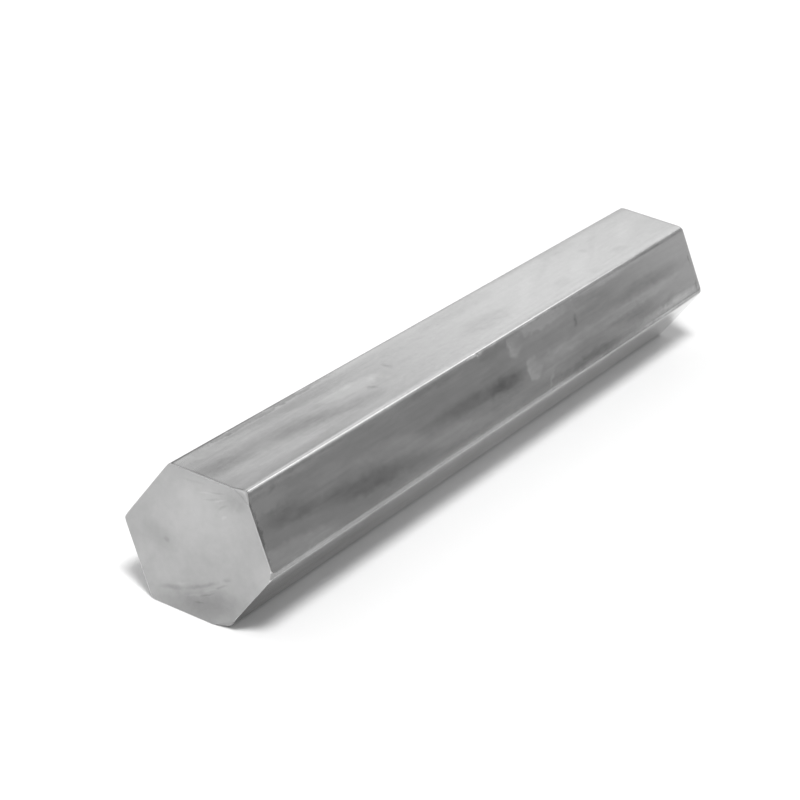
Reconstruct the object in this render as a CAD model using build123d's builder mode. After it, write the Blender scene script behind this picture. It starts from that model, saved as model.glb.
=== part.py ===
from build123d import *
import math
import os

# Hexagonal bar stock, bright drawn, cut to length and lying on one of its flats.
# The frame: +X runs along the bar, +Z is up, and the origin is under the middle of the bar, on the floor.
# All sizes are in millimetres.

# Stock size
across_flats = 44.45
bar_length = 304.8

# The drawing die leaves each of the six long corners slightly round
corner_radius = 1.0

# Each sawn end is faced, and its six corners are turned back by this much on the end face.
# The angle is the slope of the turned corners away from the end face, where they start.
corner_cut = 1.35
turned_slope = 45.0

# A light bevel takes the burr off the whole edge of each end face
edge_break = 0.4

# Values that follow from the sizes above
side_count = 6
axis_height = across_flats / 2
across_corners = across_flats / math.cos(math.pi / side_count)
near_end = -bar_length / 2
far_end = bar_length / 2

# The turned corners of an end lie on one ball, centred on the bar's axis
end_face_radius = across_corners / 2 - corner_cut
ball_radius = end_face_radius / math.sin(math.radians(turned_slope))
ball_depth = end_face_radius / math.tan(math.radians(turned_slope))


with BuildPart() as hex_bar:
    # The drawn section, with one pair of flats level, pulled out along the bar
    with BuildSketch(Plane.YZ.offset(near_end)) as section:
        with Locations((0, axis_height)):
            RegularPolygon(across_flats / 2, side_count, major_radius=False)
        fillet(section.vertices(), radius=corner_radius)
    extrude(amount=bar_length)

    # The turned ends: only what lies inside a round blank with crowned ends is kept.
    # The blank stands well clear of the bar between the ends.
    with BuildSketch(Plane.XZ) as turned_blank:
        with BuildLine() as blank_outline:
            end_face = Line((near_end, axis_height), (near_end, axis_height + end_face_radius))
            crown = CenterArc(
                (near_end + ball_depth, axis_height),
                ball_radius,
                180 - turned_slope,
                turned_slope - 90,
            )
            Line(crown @ 1, (0, axis_height + ball_radius))
            mirror(about=Plane.YZ)
            Line(end_face @ 0, (far_end, axis_height))
        make_face()
    revolve(axis=Axis((0, 0, axis_height), (1, 0, 0)), mode=Mode.INTERSECT)

    # The deburred edge round each end face
    end_faces = faces().filter_by(Axis.X)
    chamfer(end_faces.edges(), length=edge_break)

hex_bar.part.label = "hex_bar"

os.makedirs("parts", exist_ok=True)
export_step(hex_bar.part, "parts/hex_bar.step")
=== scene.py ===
import math
from collections import namedtuple

import bpy
import numpy as np
from mathutils import Matrix, Vector


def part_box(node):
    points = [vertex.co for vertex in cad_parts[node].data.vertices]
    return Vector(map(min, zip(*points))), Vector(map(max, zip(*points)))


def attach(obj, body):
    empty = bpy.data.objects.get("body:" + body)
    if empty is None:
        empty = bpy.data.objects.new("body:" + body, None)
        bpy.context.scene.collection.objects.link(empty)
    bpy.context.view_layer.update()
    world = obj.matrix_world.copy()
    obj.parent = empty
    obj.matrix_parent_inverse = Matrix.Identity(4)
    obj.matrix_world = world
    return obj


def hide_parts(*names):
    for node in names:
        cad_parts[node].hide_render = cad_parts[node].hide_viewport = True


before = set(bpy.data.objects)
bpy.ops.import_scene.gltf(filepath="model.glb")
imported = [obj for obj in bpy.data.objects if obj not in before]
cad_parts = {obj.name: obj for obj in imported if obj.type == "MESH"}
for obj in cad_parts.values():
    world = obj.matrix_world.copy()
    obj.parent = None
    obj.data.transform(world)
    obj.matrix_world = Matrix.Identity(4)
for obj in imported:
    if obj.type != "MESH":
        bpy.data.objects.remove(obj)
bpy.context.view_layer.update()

mm = 0.001

# The bar's sizes, read from the frame
bar_low, bar_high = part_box("hex_bar")
bar_length = bar_high.x - bar_low.x
across_flats = bar_high.z - bar_low.z
side_count = 6
half_side_angle = math.pi / side_count
sharp_radius = across_flats / 2 / math.cos(half_side_angle)

# Half of each long corner, from the flat to the corner's middle. The die leaves a small radius, and
# the flats fall away a little before it.
Arc = namedtuple("Arc", "turn radius steps")
corner_arcs = [Arc(3.0, 30 * mm, 2), Arc(5.0, 10 * mm, 2), Arc(22.0, 0.95 * mm, 4)]

# The six sides, in the order of the columns round the bar
side_names = ["back_lower", "back_upper", "top", "front_upper", "front_lower", "underside"]

# Fineness of the mesh: columns on a flat, rows along the sides and round the nick, and steps over each
# edge of a bevel
flat_columns = 17
row_pitch = 2.0 * mm
fine_pitch = 0.35 * mm
edge_steps = 4

# The bar's material slots
drawn_slot, bevel_slot, faced_slot, turned_slot = range(4)

# How far the rounding of a bevel's two edges reaches, as a share of the bevel's width
end_rounding = 0.42

# The light bevel round each end face was cut by hand, so its width changes round the bar. The places
# count sides from the back bottom corner.
BevelWidth = namedtuple("BevelWidth", "place width")
near_bevel = [
    BevelWidth(0.00, 0.12 * mm),
    BevelWidth(1.00, 0.15 * mm),
    BevelWidth(2.00, 0.06 * mm),
    BevelWidth(2.18, 0.06 * mm),
    BevelWidth(2.35, 0.20 * mm),
    BevelWidth(2.65, 0.20 * mm),
    BevelWidth(3.10, 0.08 * mm),
    BevelWidth(3.45, 0.12 * mm),
    BevelWidth(3.70, 0.16 * mm),
    BevelWidth(3.90, 0.14 * mm),
    BevelWidth(4.05, 0.04 * mm),
    BevelWidth(4.90, 0.04 * mm),
    BevelWidth(5.30, 0.10 * mm),
]
far_bevel = [BevelWidth(0.0, 0.25 * mm), BevelWidth(1.6, 0.18 * mm), BevelWidth(3.8, 0.25 * mm)]

# Each end's corners are turned back: by how much on the end face, measured from the sharp corner of
# the hexagon, and how far along the bar. The near end was done by hand, so its corners differ.
TurnedCorner = namedtuple("TurnedCorner", "on_face along_bar")
near_corners = {
    "back_bottom": TurnedCorner(0.50 * mm, 0.6 * mm),
    "back_middle": TurnedCorner(0.50 * mm, 0.5 * mm),
    "back_top": TurnedCorner(0.45 * mm, 0.5 * mm),
    "front_top": TurnedCorner(1.85 * mm, 0.9 * mm),
    "front_middle": TurnedCorner(1.00 * mm, 1.2 * mm),
    "front_bottom": TurnedCorner(2.30 * mm, 1.8 * mm),
}
far_corners = dict.fromkeys(near_corners, TurnedCorner(0.70 * mm, 0.6 * mm))

# A small nick beside the front top corner
nick_along = 139.0 * mm
nick_across = 1.3 * mm
nick_radius = 0.55 * mm
nick_depth = 0.10 * mm

# The camera, fitted to the bar's edges in the photograph: where it stands, which way it looks from +X
# towards +Y, how far it looks down, and how far its right side is lifted
camera_place = Vector((-0.7040, -0.3246, 0.3677))
camera_heading = 25.97
camera_down = 24.46
camera_roll = 9.04
camera_lens = 114.60
camera_sensor = 36.0


def add_node(tree, kind, inputs=None, **settings):
    """Adds one shader node. An input is either a socket to link or a value."""
    made = tree.nodes.new(kind)
    for name, value in settings.items():
        setattr(made, name, value)
    for name, value in (inputs or {}).items():
        if isinstance(value, bpy.types.NodeSocket):
            tree.links.new(value, made.inputs[name])
        else:
            made.inputs[name].default_value = value
    return made


def math_node(tree, operation, first, second=0.0, third=0.0):
    """One Math node's result."""
    inputs = {0: first, 1: second, 2: third}
    return add_node(tree, "ShaderNodeMath", inputs, operation=operation).outputs[0]


def noise(tree, place, size, detail=3.0, roughness=0.5, distortion=0.0):
    """Soft noise from about -1 to 1, with features of the given size along each axis of the place."""
    scaled = add_node(
        tree,
        "ShaderNodeMapping",
        {"Vector": place, "Scale": [1 / part for part in size]},
    ).outputs["Vector"]
    raw = add_node(
        tree,
        "ShaderNodeTexNoise",
        {
            "Vector": scaled,
            "Scale": 1.0,
            "Detail": detail,
            "Roughness": roughness,
            "Distortion": distortion,
        },
    ).outputs["Fac"]
    return add_node(
        tree,
        "ShaderNodeMapRange",
        {"Value": raw, "From Min": 0.25, "From Max": 0.75, "To Min": -1.0, "To Max": 1.0},
    ).outputs["Result"]


mark_parts = "along across length width turn tone soft fading"
Mark = namedtuple("Mark", mark_parts, defaults=(0.0, 0.0, 0.55, False))


def mark_tone(tree, place, mark, start):
    """A soft oval mark on the surface: its tone in the middle, and zero past its edge.

    A fading one is full at its near edge and gone at its far one."""
    local = add_node(
        tree,
        "ShaderNodeMapping",
        {
            "Vector": place,
            "Location": (mark.along, start + mark.across, 0.0),
            "Rotation": (0.0, 0.0, math.radians(mark.turn)),
            "Scale": (mark.length / 2, mark.width / 2, 1.0),
        },
        vector_type="TEXTURE",
    ).outputs["Vector"]
    inside = add_node(
        tree, "ShaderNodeTexGradient", {"Vector": local}, gradient_type="SPHERICAL"
    ).outputs["Fac"]
    tone = add_node(
        tree,
        "ShaderNodeMapRange",
        {"Value": inside, "From Max": mark.soft, "To Max": mark.tone},
        interpolation_type="SMOOTHSTEP",
    ).outputs["Result"]
    if not mark.fading:
        return tone
    along = add_node(tree, "ShaderNodeSeparateXYZ", {"Vector": local}).outputs["X"]
    remaining = add_node(
        tree,
        "ShaderNodeMapRange",
        {"Value": along, "From Min": -0.8, "From Max": 1.0, "To Min": 1.0, "To Max": 0.0},
    ).outputs["Result"]
    return math_node(tree, "MULTIPLY", tone, remaining)


def corner_curve():
    """Half of a long corner, from its middle to the flat, as places about the corner's sharp edge.

    The flat lies along -1 from the sharp edge. Also the outward directions, as angles from the flat's,
    and the distances over the curve from the corner's middle."""
    place, heading, distance = 0j, 0.0, 0.0
    places, headings, distances = [place], [heading], [distance]
    for arc in corner_arcs:
        for _ in range(arc.steps):
            following = heading + math.radians(arc.turn) / arc.steps
            place += arc.radius * (math.sin(following) - math.sin(heading))
            place -= 1j * arc.radius * (math.cos(heading) - math.cos(following))
            distance += arc.radius * (following - heading)
            heading = following
            places.append(place)
            headings.append(heading)
            distances.append(distance)
    loss = -place.imag / math.cos(half_side_angle)
    reach = place.real + loss * math.sin(half_side_angle)
    return (
        np.array(places[::-1]) - reach,
        np.array(headings[::-1]),
        distance - np.array(distances[::-1]),
    )


corner_places, corner_headings, corner_distances = corner_curve()
flat_width = sharp_radius + 2 * corner_places[-1].real
side_width = flat_width + 2 * corner_distances[-1]


def section_columns():
    """The section's outline about the bar's axis, as places y + iz, from the back bottom corner round.

    Also each column's outward direction, its distance round the girth and its nearest corner."""
    share = (1 - np.cos(math.pi * np.arange(1, flat_columns + 1) / (flat_columns + 1))) / 2
    steps = len(corner_places)
    places, outward, girth, nearest = [], [], [], []
    for side in range(side_count):
        facing = np.exp(1j * (side - 0.5) * 2 * half_side_angle)
        along_side = 1j * facing
        middle = facing * across_flats / 2
        leaving = middle - along_side * (sharp_radius / 2 + corner_places)
        reaching = middle + along_side * (sharp_radius / 2 + np.conj(corner_places[:0:-1]))
        flat_start, flat_end = leaving[-1], reaching[0]
        places += [leaving, flat_start + (flat_end - flat_start) * share, reaching]
        outward += [
            facing * np.exp(-1j * corner_headings),
            np.full(flat_columns, facing),
            facing * np.exp(1j * corner_headings[:0:-1]),
        ]
        flat_from = side * side_width + corner_distances[-1]
        girth += [
            side * side_width + corner_distances,
            flat_from + flat_width * share,
            (side + 1) * side_width - corner_distances[:0:-1],
        ]
        nearest += [
            np.full(steps, side),
            np.where(share < 0.5, side, (side + 1) % side_count),
            np.full(steps - 1, (side + 1) % side_count),
        ]
    return [np.concatenate(part) for part in (places, outward, girth, nearest)]


def rounded(start, edge, end):
    """Points of a smooth curve that leaves start and reaches end, pulled towards the edge between."""
    shares = np.linspace(0, 1, edge_steps + 1)
    return [(1 - t) ** 2 * start + 2 * t * (1 - t) * edge + t**2 * end for t in shares]


def end_rows(section, corners, bevels):
    """Rows of one end, from its face outwards: places about the axis and depths along the bar.

    The first row lies on the end face, and the last on the sides. Also which columns are turned
    back."""
    places, outward, girth, nearest = section
    # A turned corner stays at least this much wider than the bevel, where it is hardly turned
    hair = 0.001 * mm
    on_face = np.array([corner.on_face for corner in corners.values()])[nearest]
    along_bar = np.array([corner.along_bar for corner in corners.values()])[nearest]
    bevel_places, bevel_widths = zip(*bevels)
    width = np.interp(girth / side_width, bevel_places, bevel_widths, period=side_count)
    bevelled = places - width * outward
    limit = sharp_radius - on_face
    turned = np.abs(bevelled) > limit
    outline = bevelled * np.minimum(1, limit / np.abs(bevelled))
    inset = np.abs(places - outline)
    corner_inset = np.maximum(np.abs(places).max() - limit, width + hair)
    slope = (along_bar - width) / (corner_inset - width)
    depth = width + (inset - width) * slope
    inward = (outline - places) / inset
    rounding = end_rounding * np.hypot(inset, depth)
    insets = rounded(inset + rounding, inset, inset * (1 - end_rounding))
    insets += rounded(inset * end_rounding, 0 * inset, 0 * inset)
    depths = rounded(0 * depth, 0 * depth, depth * end_rounding)
    depths += rounded(depth * (1 - end_rounding), depth, depth + rounding)
    return [places + inward * part for part in insets], depths, turned


def nick_loss(along, girth):
    """How far the nick has pushed the surface in, at places on the unrolled sides."""
    nick_girth = side_names.index("front_upper") * side_width + nick_across
    away = np.hypot(along - nick_along, girth - nick_girth) / nick_radius
    return nick_depth * np.exp(-(away**2))


def bar_rows():
    """All rows of the bar's surface, from the middle of the near end face to that of the far one.

    Returns places about the axis, distances along the bar, the columns' distances round the girth,
    the first and last row of the sides, and which columns are turned back at the near and far end."""
    section = section_columns()
    places, outward, girth, _ = section
    near_places, near_depths, near_turned = end_rows(section, near_corners, near_bevel)
    far_places, far_depths, far_turned = end_rows(section, far_corners, far_bevel)
    face_shares = [0.02, 0.1, 0.2, 0.3, 0.4, 0.5, 0.6, 0.7, 0.8, 0.88, 0.94, 0.98]
    flat_depth = np.zeros(len(places))
    end_margin = 6 * mm
    fine_reach = 2.1 * mm
    even_from_nick = 2.4 * mm
    even = np.arange(end_margin, bar_length - end_margin, row_pitch)
    even = even[np.abs(even - nick_along) > even_from_nick]
    fine = np.arange(nick_along - fine_reach, nick_along + fine_reach, fine_pitch)
    stations = np.sort(np.concatenate([even, fine]))
    near_start, far_start = near_depths[-1], bar_length - far_depths[-1]
    rows = [(near_places[0] * share, flat_depth) for share in face_shares]
    rows += list(zip(near_places, near_depths))
    rows += [(places, near_start + (stations[0] - near_start) * share) for share in (0.2, 0.5)]
    for station in stations:
        dented = places - outward * nick_loss(station, girth)
        rows.append((dented, flat_depth + station))
    rows += [(places, far_start + (stations[-1] - far_start) * share) for share in (0.5, 0.2)]
    rows += [(place, bar_length - depth) for place, depth in zip(far_places[::-1], far_depths[::-1])]
    rows += [(far_places[0] * share, flat_depth + bar_length) for share in face_shares[::-1]]
    sides = (len(face_shares), len(rows) - len(face_shares) - 1)
    turned = (near_turned, far_turned)
    row_places, row_distances = (np.array(part) for part in zip(*rows))
    return row_places, row_distances, girth, sides, turned


def bake_layout(places, along, around, sides, side):
    """Where each face corner lies in the square that the finished look is baked to.

    The six sides are strips, one above the other, and the two end faces lie above them."""
    margin, gap = 0.008, 0.008
    strip = 0.119
    face = 0.21
    near_middle, far_middle = 0.2, 0.6
    reach = 4 * mm
    strip_u = margin + (along + reach) / (bar_length + 2 * reach) * (1 - 2 * margin)
    strip_v = margin + side * (strip + gap) + (around - side * side_width) / side_width * strip
    face_scale = face / across_flats
    middle_v = margin + side_count * (strip + gap) + gap + face / 2
    face_v = middle_v + places.imag * face_scale
    face_u = np.where(along < bar_length / 2, near_middle, far_middle) + places.real * face_scale
    return np.where(sides, strip_u, face_u), np.where(sides, strip_v, face_v)


def bar_mesh():
    """The bar's whole surface as one closed mesh, with its unrolled map and its map for baking."""
    places, along, girth, (first, last), turned = bar_rows()
    row_count, column_count = places.shape
    axis_height = bar_low.z + across_flats / 2
    points = np.stack([bar_low.x + along, places.real, axis_height + places.imag], axis=-1)
    ends = [[bar_low.x, 0, axis_height], [bar_high.x, 0, axis_height]]
    vertices = np.concatenate([points.reshape(-1, 3), ends])
    near_middle, far_middle = len(vertices) - 2, len(vertices) - 1

    row, column = np.meshgrid(np.arange(row_count - 1), np.arange(column_count), indexing="ij")
    row, column = row.ravel(), column.ravel()
    following = (column + 1) % column_count
    quads = np.stack(
        [
            row * column_count + column,
            row * column_count + following,
            (row + 1) * column_count + following,
            (row + 1) * column_count + column,
        ],
        axis=-1,
    )
    ring = np.arange(column_count)
    near_fan = np.stack([np.full(column_count, near_middle), (ring + 1) % column_count, ring], axis=-1)
    base = (row_count - 1) * column_count
    far_fan = np.stack(
        [np.full(column_count, far_middle), base + ring, base + (ring + 1) % column_count], axis=-1
    )
    mesh = bpy.data.meshes.new("drawn_bar")
    mesh.from_pydata(vertices.tolist(), [], quads.tolist() + near_fan.tolist() + far_fan.tolist())

    # Distance over the surface, so that the bevels keep their width in the unrolled map
    steps = np.linalg.norm(np.diff(points, axis=0), axis=-1)
    over = np.concatenate([np.zeros((1, column_count)), np.cumsum(steps, axis=0)])
    over += along[last // 2] - over[last // 2]

    corner_rows = np.stack([row, row, row + 1, row + 1], axis=-1)
    corner_columns = np.stack([column, following, following, column], axis=-1)
    closed_girth = np.append(girth, side_count * side_width)
    around = closed_girth[np.stack([column, column + 1, column + 1, column], axis=-1)]
    slack = 1e-6
    side = np.floor(girth[column] / side_width + slack)[:, None]
    on_sides = ((row >= first) & (row < last))[:, None]
    over_quads = over[corner_rows, corner_columns]
    baked = bake_layout(places[corner_rows, corner_columns], over_quads, around, on_sides, side)

    fan_places = [np.stack([0 * places[0], np.roll(places[0], -1), places[0]], axis=-1)]
    fan_places += [np.stack([0 * places[-1], places[-1], np.roll(places[-1], -1)], axis=-1)]
    fans = [
        bake_layout(fan, np.full(fan.shape, where), 0 * fan.real, False, 0)
        for fan, where in zip(fan_places, (0.0, bar_length))
    ]
    bake_u = np.concatenate([baked[0].ravel()] + [fan[0].ravel() for fan in fans])
    bake_v = np.concatenate([baked[1].ravel()] + [fan[1].ravel() for fan in fans])
    fan_corners = 3 * 2 * column_count
    unrolled_u = np.concatenate([over_quads.ravel(), np.zeros(fan_corners)]) / mm
    unrolled_v = np.concatenate([around.ravel(), np.zeros(fan_corners)]) / mm
    for name, u, v in (("Unrolled", unrolled_u, unrolled_v), ("OFBake", bake_u, bake_v)):
        layer = mesh.uv_layers.new(name=name)
        layer.data.foreach_set("uv", np.stack([u, v], axis=-1).ravel().astype(np.float32))

    # A bevel is two rounded edges with one row of faces between. Right beside the end face, a turned
    # corner has the face's own metal.
    bevel_rows = 2 * edge_steps + 1
    rim_rows = 2
    near_rows = (row >= first) & (row < first + bevel_rows)
    far_rows = (row < last) & (row >= last - bevel_rows)
    near_turned, far_turned = (columns[column] & columns[following] for columns in turned)
    slots = np.where(near_rows | far_rows, bevel_slot, drawn_slot)
    slots = np.where(on_sides[:, 0], slots, faced_slot)
    turned_rows = (near_rows & near_turned) | (far_rows & far_turned)
    rims = (row < first + rim_rows) | (row >= last - rim_rows)
    slots = np.where(turned_rows, np.where(rims, faced_slot, turned_slot), slots)
    slots = np.concatenate([slots, np.full(2 * column_count, faced_slot)])
    mesh.polygons.foreach_set("material_index", slots.astype(np.int32))
    mesh.polygons.foreach_set("use_smooth", np.ones(len(slots), bool))
    mesh.update()
    return mesh


def steel(name):
    """A new metal material, its tree, its shader and the place on the surface in millimetres."""
    material = bpy.data.materials.new(name)
    material.use_nodes = True
    tree = material.node_tree
    shader = tree.nodes["Principled BSDF"]
    shader.inputs["Metallic"].default_value = 1.0
    coordinates = add_node(tree, "ShaderNodeTexCoord")
    place = add_node(
        tree,
        "ShaderNodeVectorMath",
        {0: coordinates.outputs["Object"], "Scale": 1 / mm},
        operation="SCALE",
    ).outputs["Vector"]
    return material, tree, shader, place


def total(tree, *parts):
    """The parts added up."""
    result = parts[0]
    for part in parts[1:]:
        result = math_node(tree, "ADD", result, part)
    return result


def varied(tree, base, *parts):
    """A base value that changes with each part, which is a socket and how much it counts."""
    result = base
    for socket, amount in parts:
        result = math_node(tree, "ADD", result, math_node(tree, "MULTIPLY", socket, amount))
    return result


def bump(tree, shader, height, distance):
    """Fine relief: the height runs from about -1 to 1, and the distance is its real depth."""
    made = add_node(tree, "ShaderNodeBump", {"Height": height, "Distance": distance, "Strength": 1.0})
    tree.links.new(made.outputs["Normal"], shader.inputs["Normal"])


# Smudges and bands on the sides, with painted shade, painted highlights and a painted reflection where
# the flats mirror the floor and the lamps, in millimetres from the near end and from the edge that the
# side
# shares with the one before it: the back edge of the top, and the upper edge of a front side. The turn
# is in degrees, and positive where a mark falls away from the near end.
flat_marks_and_painted_light = {
    "front_upper": [
        # The near half: dark bands that run down across the face, with light ones between
        Mark(16, 11.8, 42, 8.6, turn=7, tone=-0.25, soft=0.8),
        Mark(59, 17.2, 90, 8.4, turn=5.5, tone=-0.31, soft=0.75),
        Mark(128, 13.8, 84, 7.0, turn=2, tone=-0.31, soft=0.75),
        Mark(153, 14.3, 32, 8.4, tone=-0.33, soft=0.75),
        # Painted highlight: a lighter band above the front middle corner near the end, where the
        # corner's glow spreads
        Mark(12, 21.6, 62, 7.4, turn=3, tone=0.24),
        Mark(9, 6.0, 30, 6.0, tone=0.12),
        Mark(44, 8.5, 58, 6.0, turn=5, tone=0.08),
        Mark(75, 12.0, 52, 8.5, turn=8, tone=0.14),
        Mark(114, 19.5, 62, 7.0, turn=5, tone=0.18),
        # Painted highlight: a lighter strip just below the front top corner in the near half, which
        # widens its highlight
        Mark(25, 2.2, 110, 2.8, tone=0.16, soft=0.9),
        Mark(108, 1.8, 64, 4.6, tone=-0.15, soft=0.8),
        Mark(148, 3.3, 26, 4.5, tone=-0.10),
        Mark(12.5, 2.7, 5, 2.6, tone=-0.26, soft=1.0),
        Mark(0.5, 15.0, 3.0, 17.0, tone=-0.36),
        Mark(0.5, 5.0, 2.4, 10.0, tone=-0.25),
        # The far half: light smudges, and bands that run straight along
        Mark(185, 10.0, 84, 24.0, tone=0.10),
        Mark(162.0, 4.6, 13, 9.0, turn=-13, tone=0.50, soft=0.45, fading=True),
        Mark(170.8, 15.0, 13, 9.8, turn=-18, tone=0.52, soft=0.45, fading=True),
        Mark(171, 1.7, 13, 3.0, turn=8, tone=0.18, soft=0.8),
        Mark(152, 21.2, 46, 6.0, tone=0.16, soft=0.9),
        Mark(189, 15.5, 46, 8.0, turn=2, tone=0.14, soft=0.9),
        Mark(184, 2.7, 48, 5.6, turn=1, tone=0.44, soft=0.6),
        Mark(222, 1.4, 130, 3.6, tone=0.24, soft=0.8),
        Mark(186, 19.0, 80, 6.5, tone=0.15, soft=0.9),
        Mark(206.5, 2.6, 9, 4.5, tone=0.22, soft=1.0),
        Mark(228, 14.7, 146, 6.0, tone=0.17),
        Mark(205.5, 8.6, 7, 3.2, turn=-60, tone=-0.34, soft=0.9),
        Mark(211, 23.2, 78, 5.8, tone=-0.34, soft=0.9),
        Mark(179.5, 22.0, 11, 2.4, turn=-40, tone=0.24, soft=1.0),
        Mark(265, 10.8, 90, 8.6, turn=1, tone=-0.21, soft=0.9),
        Mark(250, 18.8, 50, 7.5, turn=4, tone=-0.19, soft=0.9),
        Mark(277, 20.6, 18, 3.0, tone=-0.13, soft=0.9),
        # Painted highlight: a lighter band above the front middle corner at the far end
        Mark(276, 23.6, 76, 5.8, tone=0.46, soft=0.8),
        Mark(302.3, 12.0, 3, 5.0, tone=-0.22, soft=0.9),
        Mark(302.3, 22.0, 3, 4.5, tone=-0.22, soft=0.9),
        # The bright mark round the nick: scuffed metal, brightened into a painted glint
        Mark(137.5, 1.0, 13, 1.8, tone=0.60, soft=0.7),
        Mark(150, 0.5, 7, 1.2, tone=0.30, soft=0.7),
    ],
    "top": [
        Mark(47, 1.2, 104, 3.0, tone=-0.30),
        Mark(6, 2.5, 40, 5.0, tone=0.08),
        Mark(32, 5.6, 72, 4.5, turn=4, tone=0.10),
        Mark(11, 11.4, 50, 11.0, turn=5, tone=-0.26, soft=0.9),
        Mark(47, 13.6, 60, 10.0, turn=7, tone=-0.25, soft=0.9),
        Mark(72, 17.4, 48, 8.0, turn=6, tone=-0.17, soft=0.9),
        Mark(82, 10.9, 42, 6.5, turn=4, tone=0.14),
        Mark(82.5, 9.7, 8, 3.5, tone=0.08, soft=1.0),
        Mark(94.0, 12.2, 9, 5.0, turn=-30, tone=0.09, soft=1.0),
        Mark(88.3, 15.6, 5.5, 3.6, turn=35, tone=-0.20, soft=1.0),
        Mark(27, 18.2, 58, 6.5, turn=4, tone=0.09),
        Mark(30, 22.9, 74, 4.0, tone=-0.04),
        Mark(72, 4.4, 50, 7.0, tone=-0.08),
        Mark(106.5, 10.5, 3.6, 6.0, tone=-0.12, soft=1.0),
        Mark(164, 15.8, 44, 10.0, tone=-0.09),
        Mark(166, 4.0, 70, 7.0, tone=-0.08),
        Mark(216, 18.5, 16, 6.0, tone=-0.06),
        Mark(236, 21.5, 12, 5.0, tone=-0.05, soft=0.9),
        Mark(264, 18.5, 11, 5.0, tone=-0.06),
        Mark(250, 10.0, 7, 5.0, tone=-0.08, soft=0.9),
        Mark(242, 3.0, 36, 7.0, tone=-0.08),
        # Painted shade: the near two thirds of the top a little darker
        Mark(100, 12.5, 200, 80.0, tone=-0.10, soft=1.0),
        Mark(200, 12.0, 46, 7.0, turn=-22, tone=0.05, soft=1.0),
        Mark(236, 15.0, 40, 9.0, turn=-20, tone=0.05, soft=1.0),
        Mark(280, 12.0, 46, 10.0, turn=-20, tone=0.06, soft=1.0),
        Mark(222, 8.0, 44, 4.0, turn=-20, tone=-0.04, soft=1.0),
        Mark(262, 8.0, 44, 5.0, turn=-22, tone=-0.05, soft=1.0),
    ],
    "front_lower": [
        # Painted shade and light, where this side mirrors the floor beside the bar: darker over its
        # upper part, towards the near end and in its middle, lighter just below the front middle corner
        # in the near half and along its bottom edge, and darker again under that corner near the far
        # end
        Mark(150, 5.5, 680, 13.0, tone=-0.16),
        Mark(0, 14.0, 280, 60.0, tone=-0.16),
        Mark(6, 20.0, 60, 17.0, tone=-0.22, soft=0.9),
        Mark(0, 2.0, 150, 5.0, tone=0.22, soft=0.9),
        Mark(30, 13.0, 110, 13.0, tone=-0.22),
        Mark(150, 14.0, 340, 9.0, tone=-0.09),
        Mark(190, 23.5, 440, 9.0, tone=0.28),
        # Painted reflection: the lit floor past the far end, mirrored as a light patch
        Mark(312, 6.0, 130, 40.0, turn=30, tone=0.36, soft=0.8),
        Mark(292, 0.8, 60, 5.0, tone=-0.40, soft=1.0),
    ],
}

# Straight bands along the front middle corner, measured as on the side above it: painted shade that
# dims the corner's mirrored light, most of all in the far half, and a painted highlight on the flat
# just above it in the near half
corner_painted_shade_and_highlight = [
    Mark(150, 25.5, 900, 2.8, tone=-0.50, soft=0.9),
    Mark(248, 25.6, 150, 3.2, tone=-0.28, soft=0.9),
    Mark(105, 24.2, 160, 3.2, tone=0.16, soft=1.0),
]

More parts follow.
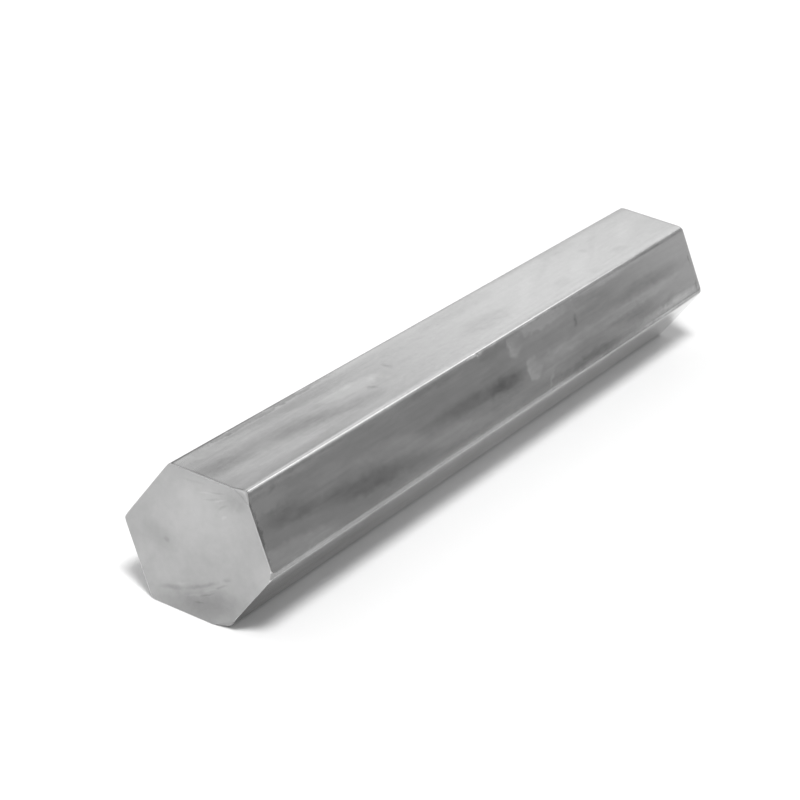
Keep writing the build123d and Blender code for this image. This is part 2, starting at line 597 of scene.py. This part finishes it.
# Marks on the near end face, in millimetres from the bar's axis: to the left as the end is seen, and up
end_marks_and_painted_shade = [
    # The first four marks: painted light over the upper part of the face and painted shade towards the
    # bottom, where the face mirrors the bar's shadow on the floor
    Mark(1, 8, 44, 32, tone=0.13, soft=1.0),
    Mark(5, 16, 26, 14, tone=0.08, soft=1.0),
    Mark(-3, -19, 56, 22, turn=-14, tone=-0.26, soft=0.9),
    Mark(-8, -15, 28, 12, turn=-26, tone=-0.11, soft=0.9),
    Mark(13, -1, 17, 9, turn=15, tone=-0.09, soft=0.7),
    Mark(10.5, -1.5, 3.5, 2.5, turn=20, tone=-0.12, soft=0.8),
    Mark(-22.5, -1, 9, 12, tone=0.10, soft=0.9),
    Mark(17.5, -10, 5, 21, turn=30, tone=0.07, soft=0.9),
    # Saw lines across the lower part
    Mark(7, -15.8, 14, 2.3, turn=-19, tone=-0.15, soft=1.0),
    Mark(-1.5, -12.4, 12, 2.0, turn=-27, tone=-0.17, soft=1.0),
    Mark(-6.0, -9.8, 8, 1.8, turn=-30, tone=-0.17, soft=1.0),
    Mark(-11, -6.7, 5, 2.0, turn=-25, tone=-0.17, soft=1.0),
    Mark(-9.5, -9.4, 6, 1.0, turn=-32, tone=-0.14, soft=0.8),
    Mark(-5, -13.6, 8, 0.9, turn=-30, tone=-0.12, soft=0.8),
    Mark(-3, -17, 5, 1.0, turn=-15, tone=-0.10, soft=0.8),
    Mark(-1, -15.4, 9, 1.3, turn=-24, tone=0.09, soft=1.0),
    Mark(-6, -11.7, 8, 1.2, turn=-30, tone=0.09, soft=1.0),
    Mark(3.5, -13.2, 9, 1.2, turn=-20, tone=0.07, soft=1.0),
    Mark(2, -9, 9, 3.5, turn=-20, tone=-0.05, soft=0.9),
    # Rubbed and scored metal towards the front top corner
    Mark(-9.5, 18, 13, 9, turn=-30, tone=-0.12, soft=1.0),
    Mark(-12.5, 17, 4, 7, turn=30, tone=-0.10, soft=0.8),
    Mark(-1, 17.6, 9, 1.0, turn=-12, tone=0.10, soft=0.8),
    Mark(-2.5, 16.2, 8, 0.9, turn=-22, tone=-0.11, soft=0.8),
    Mark(-4, 18.6, 8, 1.1, turn=-18, tone=-0.12, soft=0.8),
    Mark(-5.5, 16.8, 6, 0.8, turn=-28, tone=0.12, soft=0.8),
    Mark(-6.5, 15, 5, 1.2, turn=-40, tone=-0.12, soft=0.8),
    Mark(-7.5, 12.2, 3.2, 1.4, turn=-40, tone=0.12, soft=0.8),
    Mark(4, 19.5, 12, 1.2, turn=-6, tone=-0.07, soft=0.9),
]


def shaken(tree, place, amount, scale):
    """The place moved about by soft noise, so that the marks have ragged edges."""
    ragged = add_node(
        tree,
        "ShaderNodeTexNoise",
        {"Vector": place, "Scale": scale, "Detail": 5.0, "Roughness": 0.62},
    ).outputs["Color"]
    moved = add_node(
        tree,
        "ShaderNodeVectorMath",
        {0: ragged, 1: amount, 2: place},
        operation="MULTIPLY_ADD",
    ).outputs["Vector"]
    half = [part / 2 for part in amount]
    return add_node(
        tree, "ShaderNodeVectorMath", {0: moved, 1: half}, operation="SUBTRACT"
    ).outputs["Vector"]


def drawn_steel():
    """The drawn sides: satin, with lengthwise streaks, marks of handling, and painted shade and
    highlights.
    """
    material, tree, shader, place = steel("drawn_steel")
    unrolled = add_node(tree, "ShaderNodeUVMap", uv_map="Unrolled").outputs["UV"]
    streaks = noise(tree, place, (60, 1.1, 1.1), detail=4)
    bands = noise(tree, place, (110, 7, 7), detail=2, distortion=0.3)
    smears = noise(tree, place, (26, 6, 6), detail=4, roughness=0.6)
    speckle = noise(tree, place, (3.2, 1.3, 1.3), detail=4, roughness=0.6)
    across = add_node(tree, "ShaderNodeSeparateXYZ", {"Vector": unrolled}).outputs["Y"]
    half_side = side_width / mm / 2
    from_corner = math_node(tree, "PINGPONG", across, half_side)
    wear_reach = 2.2
    by_corner = add_node(
        tree,
        "ShaderNodeMapRange",
        {"Value": from_corner, "From Max": wear_reach, "To Min": 1.0, "To Max": 0.0},
        interpolation_type="SMOOTHSTEP",
    ).outputs["Result"]
    knocks = noise(tree, place, (2.2, 0.7, 0.7), detail=4, roughness=0.6)
    corner_wear = math_node(tree, "MULTIPLY", knocks, by_corner)
    tone = varied(
        tree,
        1.0,
        (streaks, 0.035),
        (bands, 0.03),
        (smears, 0.06),
        (speckle, 0.03),
        (corner_wear, 0.13),
    )
    moved = shaken(tree, unrolled, amount=(7.0, 2.4, 0.0), scale=0.10)
    moved = shaken(tree, moved, amount=(6.0, 2.8, 0.0), scale=0.30)
    mottle = varied(tree, 1.0, (noise(tree, place, (7, 2.2, 2.2), detail=4, roughness=0.65), 0.35))
    starts = {side: number * side_width / mm for number, side in enumerate(side_names)}
    start = starts["front_upper"]
    # The bands along the front middle corner, painted shade and a painted highlight, then each side's
    # marks with their smudges, painted shade, painted highlights and painted reflection
    smudges_and_painted_light = total(tree, *(mark_tone(tree, unrolled, band, start) for band in corner_painted_shade_and_highlight))
    for side, marks in flat_marks_and_painted_light.items():
        start = starts[side]
        on_side = math_node(tree, "COMPARE", across, start + half_side, half_side)
        tones = total(tree, *(mark_tone(tree, moved, mark, start) for mark in marks))
        on_side = math_node(tree, "MULTIPLY", on_side, mottle)
        smudges_and_painted_light = math_node(tree, "MULTIPLY_ADD", tones, on_side, smudges_and_painted_light)
    # Where light marks overlap, the steel still reflects no more than its brightest tone
    brightest = 1.5
    plain_brightness = 0.52
    tone = math_node(tree, "MINIMUM", math_node(tree, "ADD", tone, smudges_and_painted_light), brightest)
    tree.links.new(math_node(tree, "MULTIPLY", tone, plain_brightness), shader.inputs["Base Color"])
    roughness = varied(
        tree,
        0.15,
        (bands, 0.02),
        (smears, 0.03),
        (streaks, 0.015),
        (corner_wear, 0.04),
        (smudges_and_painted_light, -0.08),
    )
    tree.links.new(roughness, shader.inputs["Roughness"])
    scratches = noise(tree, place, (30, 0.35, 0.35), detail=2)
    bump(tree, shader, scratches, distance=0.002 * mm)
    return material


def edge_steel():
    """The light bevels: worn bright and a little smoother."""
    material, tree, shader, place = steel("edge_steel")
    wear = noise(tree, place, (2.5, 2.5, 2.5), detail=3)
    tree.links.new(varied(tree, 0.62, (wear, 0.03)), shader.inputs["Base Color"])
    tree.links.new(varied(tree, 0.30, (wear, 0.04)), shader.inputs["Roughness"])
    return material


def faced_steel():
    """The end faces: dull and finely mottled, with traces of the saw, and painted shade on the near
    one.
    """
    material, tree, shader, place = steel("faced_steel")
    mottle = noise(tree, place, (4, 3.5, 3.5), detail=5, roughness=0.65)
    cloud = noise(tree, place, (14, 14, 14), detail=2)
    axes = add_node(tree, "ShaderNodeSeparateXYZ", {"Vector": place}).outputs
    face = add_node(tree, "ShaderNodeCombineXYZ", {"X": axes["Y"], "Y": axes["Z"]}).outputs["Vector"]
    moved = shaken(tree, face, amount=(1.6, 1.6, 0.0), scale=0.35)
    middle = across_flats / 2 / mm
    # The near end's marks: saw lines and rubbed metal, with painted light towards the top and painted
    # shade towards the bottom
    marks = total(tree, *(mark_tone(tree, moved, mark, middle) for mark in end_marks_and_painted_shade))
    near = math_node(tree, "LESS_THAN", axes["X"], 0.0)
    tone = varied(tree, 1.0, (mottle, 0.07), (cloud, 0.04), (marks, near))
    plain_brightness = 0.43
    tree.links.new(math_node(tree, "MULTIPLY", tone, plain_brightness), shader.inputs["Base Color"])
    tree.links.new(varied(tree, 0.42, (mottle, 0.03)), shader.inputs["Roughness"])
    grain = noise(tree, place, (0.6, 0.6, 0.6), detail=3)
    bump(tree, shader, grain, distance=0.004 * mm)
    return material


def filed_steel():
    """The turned back corners: filed by hand, rough and dull."""
    material, tree, shader, place = steel("filed_steel")
    wear = noise(tree, place, (1.5, 1.5, 1.5), detail=3)
    tree.links.new(varied(tree, 0.44, (wear, 0.04)), shader.inputs["Base Color"])
    tree.links.new(varied(tree, 0.75, (wear, 0.05)), shader.inputs["Roughness"])
    bump(tree, shader, wear, distance=0.02 * mm)
    return material


def make_bar():
    """The bar in place of its CAD solid."""
    bar = bpy.data.objects.new("drawn_bar", bar_mesh())
    bpy.context.scene.collection.objects.link(bar)
    # In the order of the material slots
    for material in (drawn_steel(), edge_steel(), faced_steel(), filed_steel()):
        bar.data.materials.append(material)
    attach(bar, "root")
    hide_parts("hex_bar")


def make_floor():
    """A plain pale floor, 12 metres square."""
    half = 6.0
    mesh = bpy.data.meshes.new("floor")
    corners = [(-half, -half), (half, -half), (half, half), (-half, half)]
    mesh.from_pydata([(x, y, bar_low.z) for x, y in corners], [], [(0, 1, 2, 3)])
    floor = bpy.data.objects.new("floor", mesh)
    bpy.context.scene.collection.objects.link(floor)
    material = bpy.data.materials.new("pale_floor")
    material.use_nodes = True
    shader = material.node_tree.nodes["Principled BSDF"]
    shader.inputs["Base Color"].default_value = (0.86, 0.86, 0.86, 1.0)
    shader.inputs["Roughness"].default_value = 0.9
    shader.inputs["Specular IOR Level"].default_value = 0.2
    mesh.materials.append(material)


def softbox(name, azimuth, elevation, width, height, brightness, distance=2.5):
    """A flat soft light that faces the bar, with its width and height in metres.

    Azimuth is from +X towards +Y, and brightness is as seen."""
    data = bpy.data.lights.new(name, "AREA")
    data.shape = "RECTANGLE"
    data.size = width
    data.size_y = height
    data.energy = brightness * math.pi * width * height
    light = bpy.data.objects.new(name, data)
    bpy.context.scene.collection.objects.link(light)
    turn, lift = math.radians(azimuth), math.radians(elevation)
    level = math.cos(lift)
    towards = Vector((math.cos(turn) * level, math.sin(turn) * level, math.sin(lift)))
    light.location = towards * distance
    light.rotation_euler = towards.to_track_quat("Z", "Y").to_euler()
    light.visible_camera = False


def light_studio():
    """Soft light: a dim plain room, a high key light, and boxes round the bar that its flats mirror."""
    world = bpy.data.worlds.new("studio")
    world.use_nodes = True
    background = world.node_tree.nodes["Background"]
    background.inputs["Color"].default_value = (1.0, 1.0, 1.0, 1.0)
    background.inputs["Strength"].default_value = 0.345
    bpy.context.scene.world = world
    softbox("key", azimuth=-155, elevation=64, width=1.2, height=1.2, brightness=45.0, distance=5.0)
    softbox("left", azimuth=102, elevation=34, width=3.20, height=2.20, brightness=0.80)
    softbox("back_left", azimuth=20, elevation=16, width=1.38, height=0.88, brightness=0.49)
    softbox("back_left_high", azimuth=20, elevation=27, width=1.40, height=0.68, brightness=0.39)
    softbox("back_middle", azimuth=4, elevation=37, width=1.55, height=0.72, brightness=0.68)
    softbox("back_right", azimuth=-15, elevation=35.5, width=0.85, height=0.68, brightness=1.60)
    softbox("near_right", azimuth=-35, elevation=24, width=0.34, height=0.40, brightness=0.90)
    softbox("middle_right", azimuth=-26, elevation=21, width=0.85, height=0.60, brightness=0.27)
    softbox("low_right", azimuth=-20, elevation=6, width=0.66, height=0.35, brightness=0.335)
    softbox("front_right", azimuth=-125, elevation=16, width=1.75, height=0.88, brightness=0.60)
    softbox("front", azimuth=180, elevation=28, width=1.85, height=2.20, brightness=0.42)


def make_camera():
    """The photograph's camera."""
    data = bpy.data.cameras.new("camera")
    data.sensor_width = camera_sensor
    data.lens = camera_lens
    camera = bpy.data.objects.new("camera", data)
    bpy.context.scene.collection.objects.link(camera)
    heading = Matrix.Rotation(math.radians(camera_heading - 90), 4, "Z")
    tilt = Matrix.Rotation(math.radians(90 - camera_down), 4, "X")
    roll = Matrix.Rotation(math.radians(camera_roll), 4, "Z")
    camera.matrix_world = Matrix.Translation(camera_place) @ heading @ tilt @ roll
    bpy.context.scene.camera = camera


make_bar()
make_floor()
light_studio()
make_camera()
bpy.context.scene.view_settings.view_transform = "Standard"
